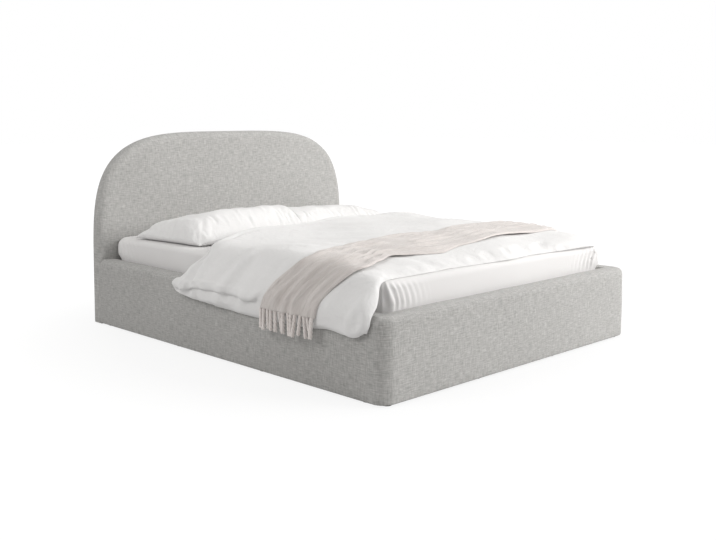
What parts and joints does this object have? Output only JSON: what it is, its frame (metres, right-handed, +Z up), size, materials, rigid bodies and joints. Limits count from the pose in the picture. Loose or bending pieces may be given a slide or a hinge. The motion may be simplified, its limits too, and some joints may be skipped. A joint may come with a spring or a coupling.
{
  "type": "upholstered storage bed",
  "caption": "Upholstered double bed with an arched padded headboard, boxed rails to the floor, a lift-up mattress platform over a storage space, and made-up bedding.",
  "frame": {"origin": "centre of the footprint at floor level", "axes": "+X across the bed, +Y along it towards the headboard, +Z up"},
  "size_m": [1.914, 2.2, 1.038],
  "materials": {
    "cover_fabric": "light warm grey structured weave",
    "foam": "upholstery foam",
    "board": "chipboard, raw",
    "batten_wood": "planed softwood",
    "slat_wood": "lacquered beech",
    "back_cloth": "black spun dust cloth",
    "black_steel": "black powder coat, satin",
    "zinc": "zinc plated",
    "black_plastic": "black",
    "rubber": "matt",
    "mattress_ticking": "quilted ticking",
    "sheet_cotton": "white cotton jersey",
    "bed_linen": "white cotton",
    "throw_wool": "greige soft wool"
  },
  "bodies": {
    "frame": {"right_inner_board": "board", "right_battens": "batten_wood", "right_outer_board": "board", "right_foam": "foam", "right_cover": "cover_fabric", "left_inner_board": "board", "left_battens": "batten_wood", "left_outer_board": "board", "left_foam": "foam", "left_cover": "cover_fabric", "foot_inner_board": "board", "foot_battens": "batten_wood", "foot_outer_board": "board", "foot_corner_posts": "batten_wood", "foot_foam": "foam", "foot_cover": "cover_fabric", "head_battens": "batten_wood", "head_panel": "board", "head_foam": "foam", "head_cover": "cover_fabric", "head_back_cloth": "back_cloth", "corner_brackets": "black_steel", "corner_bolts": "zinc", "right_ledge": "batten_wood", "left_ledge": "batten_wood", "foot_ledge": "batten_wood", "ledge_pads": "rubber", "floor_battens": "batten_wood", "floor_panels": "board", "glides": "black_plastic", "lift_base_plates": "black_steel", "base_pins": "zinc", "lift_bolts": "zinc"},
    "long_arms": {"long_arms": "black_steel", "strut_studs": "zinc"},
    "short_arms": {"short_arms": "black_steel"},
    "strut_cylinders": {"strut_cylinders": "black_plastic"},
    "strut_rods": {"strut_rods": "zinc", "strut_pistons": "black_plastic"},
    "platform": {"top_plates": "black_steel", "top_pins": "zinc", "side_tubes": "black_steel", "end_tubes": "black_steel", "cross_tubes": "black_steel", "centre_tube": "black_steel", "slats": "slat_wood", "slat_holders": "black_plastic", "mattress_stop": "black_steel", "mattress": "mattress_ticking", "fitted_sheet": "sheet_cotton", "pillow_right": "bed_linen", "pillow_left": "bed_linen", "duvet": "bed_linen", "throw": "throw_wool", "throw_fringe": "throw_wool"}
  },
  "joints": [
    {"name": "lift", "type": "hinge", "parent": "frame", "child": "long_arms", "pos_m": [0, 0.595, 0.182], "axis": [1, 0, 0], "range_deg": [0, 44.5]},
    {"name": "platform_tilt", "type": "hinge", "parent": "long_arms", "child": "platform", "pos_m": [0, 0.85, 0.255], "axis": [-1, 0, 0], "range_deg": [0, 74.6]},
    {"name": "short_arm_swing", "type": "hinge", "parent": "frame", "child": "short_arms", "pos_m": [0, 0.266, 0.104], "axis": [1, 0, 0], "range_deg": [0, 32.2]},
    {"name": "strut_swing", "type": "hinge", "parent": "frame", "child": "strut_cylinders", "pos_m": [0, 0.693, 0.054], "axis": [1, 0, 0], "range_deg": [0, 27.2]},
    {"name": "strut_extend", "type": "slide", "parent": "strut_cylinders", "child": "strut_rods", "axis": [0, 0.4503, 0.8929], "range_m": [0, 0.0992]}
  ],
  "couplings": [
    {"joint": "platform_tilt", "follows": "lift", "ratio": 1.6742},
    {"joint": "short_arm_swing", "follows": "lift", "ratio": 0.72135},
    {"joint": "strut_swing", "follows": "lift", "ratio": 0.60899},
    {"joint": "strut_extend", "follows": "lift", "m_per_rad": 0.12747}
  ]
}
